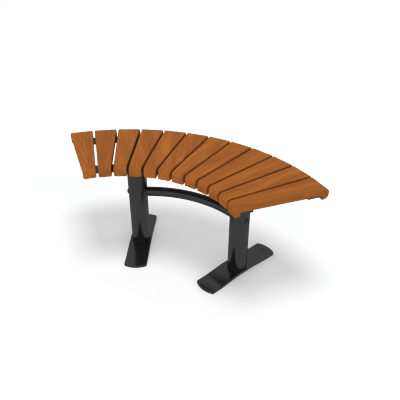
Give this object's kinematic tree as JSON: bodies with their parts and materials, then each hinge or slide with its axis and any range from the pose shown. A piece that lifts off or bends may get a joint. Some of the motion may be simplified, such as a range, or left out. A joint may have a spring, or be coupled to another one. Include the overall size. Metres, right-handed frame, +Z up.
{
  "type": "tree bench",
  "caption": "Backless curved bench for the foot of a tree: wedge-shaped wooden slats on curved flat bars, carried by round posts with long foot plates and a bowed stretcher.",
  "frame": {"origin": "on the floor, at the middle of the footprint of the whole bench (its bounding box)", "axes": "+Z up from the floor, +X along the chord between the two ends of the arc, +Y from the tree outwards at the middle of the arc"},
  "size_m": [1.051, 0.4578, 0.45],
  "materials": {
    "seat_wood": "satin",
    "frame_coat": "gloss",
    "screw_steel": "satin"
  },
  "bodies": {
    "root": {"slat_01": "seat_wood", "slat_02": "seat_wood", "slat_03": "seat_wood", "slat_04": "seat_wood", "slat_05": "seat_wood", "slat_06": "seat_wood", "slat_07": "seat_wood", "slat_08": "seat_wood", "slat_09": "seat_wood", "slat_10": "seat_wood", "slat_11": "seat_wood", "slat_12": "seat_wood", "inner_rail": "frame_coat", "outer_rail": "frame_coat", "left_arm": "frame_coat", "right_arm": "frame_coat", "left_head_plate": "frame_coat", "right_head_plate": "frame_coat", "left_post": "frame_coat", "right_post": "frame_coat", "left_foot_plate": "frame_coat", "right_foot_plate": "frame_coat", "stretcher_tube": "frame_coat", "left_stretcher_insert": "frame_coat", "right_stretcher_insert": "frame_coat", "left_stretcher_bolt": "frame_coat", "right_stretcher_bolt": "frame_coat", "left_saddle_washer": "frame_coat", "right_saddle_washer": "frame_coat", "inner_slat_screws": "screw_steel", "outer_slat_screws": "screw_steel", "head_plate_bolts": "screw_steel", "head_plate_washers": "screw_steel"}
  },
  "joints": []
}
